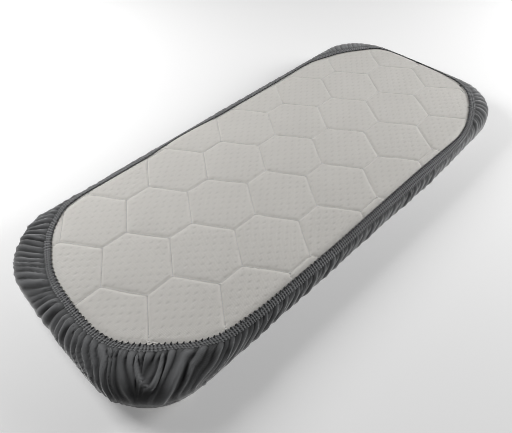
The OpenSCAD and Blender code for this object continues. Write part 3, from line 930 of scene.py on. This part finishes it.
def folds(sheet, down):
    """How far the gathers stand off at distances down from the hem's outer edge, and the painted light on
    them, 0 to 1: a painted highlight on their tops and painted shade in their valleys.
    """
    cloth = bpy.context.scene.mattress_sheet
    total = sheet.outline.total
    below = np.maximum(down, 0)
    lean, wall, height = fold_habit(sheet)
    wander = 1.5 * MM * value_noise(sheet.s, below, 23 * MM, cloth.seed + 1) * ease(0, 22 * MM, below)
    where = sheet.s - lean * np.minimum(below, LEAN_DEPTH) - wander
    crowd = np.abs(np.gradient(where, axis=1) / np.gradient(sheet.s, axis=1))
    where = np.mod(where, total)
    hem_at = np.interp(where, np.append(sheet.along, total), np.append(sheet.hem_along, sheet.hem_total))
    calm = np.clip(2.1 / np.maximum(crowd, 0.5), 0, 1) ** 2
    count = int(round(sheet.hem_total / cloth.gather))
    jitter = 0.34 * periodic_noise(hem_at, sheet.hem_total, cloth.gather * 1.7, cloth.seed + 20)
    phase = hem_at / sheet.hem_total * count + jitter
    index = np.mod(np.round(phase), count).astype(int)
    rng = np.random.default_rng(cloth.seed + 40)
    side = ease(0.5, 0.95, -sheet.normal[..., 1])
    tall = rng.uniform(0.5, 1.1, count)[index] * (1 + side * np.where(index % 2, 0.15, -0.62))
    long = rng.uniform(0.8, 1.3, count)[index]
    soft = ease(6 * MM, 40 * MM, below)
    crest_and_painted_light = (1 - soft) * np.abs(np.cos(math.pi * phase)) ** 1.1 + soft * crests(phase, 1.2)
    crest_and_painted_light = crest_and_painted_light ** (0.2 + 0.8 * height + 1.0 * side)
    crest_and_painted_light *= tall * (1 - 0.65 * ease(26 * MM * long, 72 * MM * long, below))
    half = 2 * phase + 0.4
    short = rng.uniform(0.0, 1.0, 2 * count)[np.mod(np.round(half), 2 * count).astype(int)]
    fade = 1 - ease(3 * MM, 13 * MM * long, below)
    crest_and_painted_light = (crest_and_painted_light + 0.65 * short * fade * crests(half, 1.2)) * calm
    turned = sheet.underneath(down)
    lift = cloth.gather_height * height * crest_and_painted_light * (1 - (1 - wall) * ease(0.10, 0.36, turned))
    lift += 0.3 * MM * value_noise(where, below, 19 * MM, cloth.seed + 60) * ease(0, 12 * MM, below)
    near, big = big_folds(sheet, down, below)
    lift = np.maximum(lift * (1 - 0.85 * near), BIG_FOLD * big)
    # painted highlight along the two large folds
    crest_and_painted_light = np.maximum(crest_and_painted_light * (1 - 0.85 * near), 1.2 * big)
    rise = ease(-1.5 * MM, 4 * MM, down)
    # painted shade: darkest where the sheet goes under the hem and towards the foot of the side, where it
    # turns under
    crest_and_painted_light = np.clip(crest_and_painted_light, 0, 1) * rise * (1 - ease(0.72, 0.97, turned))
    return lift * rise * (1 - ease(0.50, 0.86 - 0.04 * side, turned)), crest_and_painted_light


def fitted_sheet(material):
    """The jersey from the hem's free edge, over the sides and across the face it lies on."""
    cloth = bpy.context.scene.mattress_sheet
    columns, coarse = 1760, 2
    sheet = Sheet(columns)
    end = sheet.section.total - 38 * MM
    down = np.concatenate([np.linspace(1 * MM - cloth.hem, 0, 4), np.arange(2, 64, 2) * MM])
    upper = len(down)
    rows = upper + 8
    down = np.concatenate([down, np.full(rows - upper, down[-1])])[:, None] + np.zeros(columns)
    follow = smooth_lean(sheet, 30 * MM) * 0.9
    sheet.stand(sheet.along + follow * np.clip(down, 0, LEAN_DEPTH))
    run = sheet.start + cloth.hem + down
    share = np.linspace(0, 1, rows - upper + 1)[1:, None]
    run[upper:] += (end - run[upper:]) * share
    down = run - sheet.start - cloth.hem
    lift, crest_and_painted_light = folds(sheet, down)
    outer = sheet.place(run, lift)
    outer[..., 2] = np.maximum(outer[..., 2], 0.35 * MM)
    along = np.roll(outer, -1, 1) - np.roll(outer, 1, 1)
    across = np.gradient(outer, axis=0)
    normal = np.cross(along, across)
    normal /= np.linalg.norm(normal, axis=-1)[..., None]
    inner = (outer - normal * cloth.cloth)[::coarse, ::coarse]
    inner[..., 2] = np.maximum(inner[..., 2], 0.35 * MM + cloth.cloth)
    points = np.concatenate([outer.reshape(-1, 3), inner.reshape(-1, 3)])
    offset, rows_in, columns_in = rows * columns, inner.shape[0], inner.shape[1]
    faces = band_faces(rows, columns)
    faces += [tuple(offset + k for k in reversed(face)) for face in band_faces(rows_in, columns_in)]
    last, last_in = (rows - 1) * columns, offset + (rows_in - 1) * columns_in
    faces.append(tuple(range(last + columns - 1, last - 1, -1)))
    faces.append(tuple(range(last_in, last_in + columns_in)))
    for i in range(columns_in):
        after = (i + 1) % columns_in
        edge = [(i * coarse + k) % columns for k in range(coarse + 1)]
        faces.append((*edge, offset + after, offset + i))
    flat = np.stack([np.repeat(sheet.hem_along[None, :], rows, 0), run], -1)
    uvs = np.concatenate([flat.reshape(-1, 2), flat[::coarse, ::coarse].reshape(-1, 2)])
    # painted light on the face the sheet lies on: eased up to about a third of the way towards the pale end
    plain = ease(0.75, 1.0, sheet.underneath(down)) * 0.35
    crest_and_painted_light = crest_and_painted_light * (1 - plain) + plain
    crest_and_painted_light = np.concatenate([crest_and_painted_light.ravel(), crest_and_painted_light[::coarse, ::coarse].ravel()])
    return new_piece("fitted_sheet_jersey", points, faces, material, uvs, crest_and_painted_light), sheet


def hem_band(material):
    """The hem: elastic inside jersey, ribbed by its gathers, with two sunk rows where it is stitched."""
    cloth = bpy.context.scene.mattress_sheet
    columns = 4600
    sheet = Sheet(columns)
    notch = int(round(sheet.hem_total / cloth.notch))
    rib = int(round(sheet.hem_total / cloth.rib))
    phase = sheet.hem_along / sheet.hem_total
    jitter = 0.35 * periodic_noise(sheet.hem_along, sheet.hem_total, 7 * MM, 91)
    ribs = crests(phase * rib + jitter, 1.0)
    uneven = 0.75 + 0.25 * periodic_noise(sheet.hem_along, sheet.hem_total, 4.1 * MM, 92)
    drift = 0.9 * periodic_noise(sheet.hem_along, sheet.hem_total, 15 * MM, 93)
    scallop = np.abs(np.sin(math.pi * (phase * notch + drift))) ** 0.7
    rows, widths, crest_and_painted_light = [], [], []
    for share, height, ribbed in HEM_PROFILE:
        free = (1 - ease(0, 0.25, share)) * (1 - scallop)
        run = sheet.start + cloth.hem * share + free * 2.2 * MM
        height_kept = (1 - 0.75 * ribbed * (1 - ribs) * uneven) * (1 - 0.4 * free)
        lift = 0.2 * MM + cloth.hem_height * height * height_kept
        rows.append(sheet.place(run, lift))
        widths.append(share)
        # painted light on the hem: painted highlight on the ribs' tops; painted shade between the ribs, in
        # the notches of the free edge, and at the band's two edges, most at the free edge
        shaded = min(1, 0.4 + height) * (0.6 + 0.4 * ease(0.04, 0.16, share))
        crest_and_painted_light.append(np.clip(1 - ribbed * (1 - ribs) * 1.1 - 0.8 * free, 0, 1) * shaded)
    for share in (0.9, 0.5, 0.1):
        rows.append(sheet.place(sheet.start + cloth.hem * share, 0.15 * MM + 0 * phase))
        widths.append(share)
        # painted shade: the band's underside is painted at the dark end
        crest_and_painted_light.append(0 * phase)
    points = np.stack(rows)
    count = len(rows)
    uvs = np.stack([np.repeat(sheet.hem_along[None, :], count, 0),
                    np.repeat(np.array(widths)[:, None] * cloth.hem, columns, 1)], -1)
    faces = band_faces(count, columns)
    last = (count - 1) * columns
    faces += [(last + i, i, (i + 1) % columns, last + (i + 1) % columns) for i in range(columns)]
    piece = new_piece("hem_elastic_band", points.reshape(-1, 3), faces, material,
                      uvs.reshape(-1, 2), np.stack(crest_and_painted_light))
    return piece, sheet


def hem_line(sheet, share, lift):
    """A closed line along the hem, at a share of its width."""
    cloth = bpy.context.scene.mattress_sheet
    return sheet.place(sheet.start + cloth.hem * share, lift)


def thread_ends(sheet):
    """Short strands that lie from the hem's free edge onto the ticking."""
    sizes = bpy.context.scene.mattress_sizes
    rng = np.random.default_rng(5)
    runs = []
    for place in THREAD_ENDS:
        where, _reach = sheet.outline.find(*(np.array([place[k]]) * MM for k in (0, 1)))
        for _strand in range(5):
            aside, turn = rng.uniform(-2, 2) * MM, rng.uniform(-0.9, 0.9)
            steps = np.linspace(1.5, -rng.uniform(2.5, 6.0), 6) * MM
            s = where + aside - turn * steps
            base, normal = sheet.outline.at(s)
            plan = base + normal * (hem_reach(sheet.outline, s) + steps)[:, None]
            runs.append(np.column_stack([plan, sizes.height - 0.9 * MM - 60 * steps ** 2 + 0 * s]))
    return runs


# ---------------------------------------------------------------- operators

class MATTRESS_OT_core(bpy.types.Operator):
    """Dresses the two layers of foam"""
    bl_idname = "mattress.core"
    bl_label = "Foam core"

    def execute(self, context):
        colours = context.scene.mattress_colours
        dress(foam_material("memory_foam", colours.memory, 1.1 * MM), "memory_foam_layer")
        dress(foam_material("base_foam", colours.base, 1.8 * MM), "base_foam_layer")
        return {"FINISHED"}


class MATTRESS_OT_cover(bpy.types.Operator):
    """Dresses the hidden layers of the quilted cover"""
    bl_idname = "mattress.cover"
    bl_label = "Cover layers"

    def execute(self, context):
        colours = context.scene.mattress_colours
        dress(fibre_material("wadding", colours.wadding, 160.0),
              "sleep_face_wadding", "underside_wadding", "border_wadding")
        dress(fibre_material("backing", shade(colours.wadding, 0.95), 420.0, 0.1),
              "sleep_face_backing", "underside_backing")
        dress(ticking(), "sleep_face_ticking", "border_ticking", "zip_garage")
        seam_tape = weave_material("seam_tape", shade(colours.ticking, 1.1), 0.9 * MM)
        dress(seam_tape, "seam_lower", "seam_upper")
        dress(weave_material("care_label", (0.85, 0.85, 0.84), 0.35 * MM, 0.5), "care_label")
        return {"FINISHED"}


class MATTRESS_OT_zip(bpy.types.Operator):
    """Dresses the zip"""
    bl_idname = "mattress.zip"
    bl_label = "Zip"

    def execute(self, context):
        dress(weave_material("zip_tape", (0.80, 0.80, 0.77), 0.5 * MM), "zip_tape_lower", "zip_tape_upper")
        dress(plastic_material("zip_teeth", (0.84, 0.84, 0.81)), "zip_teeth_lower", "zip_teeth_upper")
        dress(metal_material("zip_metal", (0.62, 0.63, 0.65)),
              "zip_slider", "zip_stop_closed", "zip_stop_open")
        return {"FINISHED"}


class MATTRESS_OT_underside(bpy.types.Operator):
    """Makes the quilted ticking of the underside"""
    bl_idname = "mattress.underside"
    bl_label = "Quilted underside"

    def execute(self, context):
        piece = add_piece(quilted_panel(ticking()))
        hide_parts("underside_ticking")
        return {"FINISHED"}


class MATTRESS_OT_quilting(bpy.types.Operator):
    """Sews the hexagons"""
    bl_idname = "mattress.quilting"
    bl_label = "Quilting stitches"

    def execute(self, context):
        colours, sizes = context.scene.mattress_colours, context.scene.mattress_sizes
        thread = thread_material("quilting_thread", colours.quilting)
        piece = stitched_runs("quilting_stitches", quilting_lines(), thread, pitch=sizes.stitch,
                              stitch_length=sizes.stitch * 1.02, thickness=1.15 * MM)
        add_piece(piece)
        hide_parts("underside_quilting_thread")
        return {"FINISHED"}


class MATTRESS_OT_sheet(bpy.types.Operator):
    """Gathers the fitted sheet round the mattress"""
    bl_idname = "mattress.sheet"
    bl_label = "Fitted sheet"

    def execute(self, context):
        colours, sizes = context.scene.mattress_colours, context.scene.mattress_sizes
        jersey = jersey_material("sheet_jersey", colours.jersey, 0.9 * MM, 0.95)
        piece, sheet = fitted_sheet(jersey)
        add_piece(piece)
        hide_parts("fitted_sheet")
        return {"FINISHED"}


class MATTRESS_OT_hem(bpy.types.Operator):
    """Makes the elastic hem with its stitching and its overlocked edge"""
    bl_idname = "mattress.hem"
    bl_label = "Elastic hem"

    def execute(self, context):
        colours, cloth = context.scene.mattress_colours, context.scene.mattress_sheet
        band, sheet = hem_band(jersey_material("hem", colours.hem, 1.0 * MM, 0.9))
        add_piece(band)
        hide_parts("hem_elastic")
        thread = thread_material("hem_thread", shade(colours.hem, 1.25), 0.4)
        rows = [hem_line(sheet, share, cloth.hem_height * 0.6 + 0.25 * MM) for share in HEM_ROWS]
        stitches = stitched_runs("hem_cover_stitches", rows, thread, True, pitch=cloth.rib,
                                 stitch_length=1.9 * MM, thickness=0.6 * MM)
        add_piece(stitches)
        overlock = thread_material("overlock_thread", colours.overlock, 0.0)
        edge = [hem_line(sheet, OVERLOCK_ROW, cloth.hem_height * 0.72)]
        loops = stitched_runs("hem_overlock_loops", edge, overlock, True, pitch=cloth.notch,
                              stitch_length=4.4 * MM, thickness=2.3 * MM, flatness=0.6,
                              lean=1.15, unevenness=0.5)
        add_piece(loops)
        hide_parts("hem_overlock_thread")
        ends = stitched_runs("hem_thread_ends", thread_ends(sheet), overlock, pitch=0.9 * MM,
                             stitch_length=1.9 * MM, thickness=0.75 * MM)
        add_piece(ends)
        return {"FINISHED"}


class MATTRESS_OT_stage(bpy.types.Operator):
    """Sets the floor, the lights and the camera"""
    bl_idname = "mattress.stage"
    bl_label = "Stage"

    def execute(self, context):
        scene = context.scene
        scene.cycles.filter_width = 0.9
        n = Nodes("floor")
        vector, _x, _y = n.place()
        n.tint(n.noise(vector, 3.0), (0.94, 0.94, 0.94), (0.96, 0.96, 0.96))
        half = 6.0
        n.shader.inputs["Emission Color"].default_value = (1, 1, 1, 1)
        n.shader.inputs["Emission Strength"].default_value = 0.20
        floor = new_piece("floor", [(-half, -half, 0), (half, -half, 0), (half, half, 0), (-half, half, 0)],
                          [(0, 1, 2, 3)], n.finish(0.9, specular=0.1), smooth=False)
        world = bpy.data.worlds.new("studio")
        world.use_nodes = True
        background = world.node_tree.nodes["Background"]
        background.inputs["Color"].default_value = (1, 1, 1, 1)
        background.inputs["Strength"].default_value = 0.05
        scene.world = world
        for name, place, size, power in LIGHTS:
            light = bpy.data.lights.new(name, "AREA")
            light.shape = "SQUARE"
            light.size = size
            light.energy = power
            lamp = bpy.data.objects.new(name, light)
            lamp.location = place
            lamp.rotation_euler = (-Vector(place)).to_track_quat("-Z", "Y").to_euler()
            scene.collection.objects.link(lamp)
        data = bpy.data.cameras.new("camera")
        data.sensor_fit = "HORIZONTAL"
        data.sensor_width = 36.0
        data.lens = CAMERA_LENS
        data.clip_start = 0.01
        camera = bpy.data.objects.new("camera", data)
        ahead = Vector(CAMERA_AHEAD).normalized()
        up = Vector(CAMERA_UP)
        right = ahead.cross(up).normalized()
        up = right.cross(ahead)
        turn = Matrix((right, up, -ahead)).transposed().to_4x4()
        camera.matrix_world = Matrix.Translation(CAMERA_AT) @ turn
        scene.collection.objects.link(camera)
        scene.camera = camera
        scene.view_settings.view_transform = "Standard"
        return {"FINISHED"}


OPERATORS = (MATTRESS_OT_stage, MATTRESS_OT_core, MATTRESS_OT_cover, MATTRESS_OT_zip,
             MATTRESS_OT_underside, MATTRESS_OT_quilting, MATTRESS_OT_sheet, MATTRESS_OT_hem)


class MATTRESS_PT_panel(bpy.types.Panel):
    """The mattress's pieces, in the order they are made"""
    bl_label = "Mattress"
    bl_idname = "MATTRESS_PT_panel"
    bl_space_type = "VIEW_3D"
    bl_region_type = "UI"
    bl_category = "Mattress"

    def draw(self, context):
        column = self.layout.column(align=True)
        for operator in OPERATORS:
            column.operator(operator.bl_idname)
        scene = context.scene
        for group in (scene.mattress_sizes, scene.mattress_sheet, scene.mattress_colours):
            box = self.layout.box()
            for key in group.__annotations__:
                box.prop(group, key)


CLASSES = (MATTRESS_PG_sizes, MATTRESS_PG_sheet, MATTRESS_PG_colours, *OPERATORS, MATTRESS_PT_panel)


def register():
    for cls in CLASSES:
        bpy.utils.register_class(cls)
    bpy.types.Scene.mattress_sizes = PointerProperty(type=MATTRESS_PG_sizes)
    bpy.types.Scene.mattress_sheet = PointerProperty(type=MATTRESS_PG_sheet)
    bpy.types.Scene.mattress_colours = PointerProperty(type=MATTRESS_PG_colours)


def unregister():
    del bpy.types.Scene.mattress_sizes
    del bpy.types.Scene.mattress_sheet
    del bpy.types.Scene.mattress_colours
    for cls in reversed(CLASSES):
        bpy.utils.unregister_class(cls)


def main():
    register()
    bpy.ops.mattress.stage()
    bpy.ops.mattress.core()
    bpy.ops.mattress.cover()
    bpy.ops.mattress.zip()
    bpy.ops.mattress.underside()
    bpy.ops.mattress.quilting()
    bpy.ops.mattress.sheet()
    bpy.ops.mattress.hem()


if __name__ == "__main__":
    main()
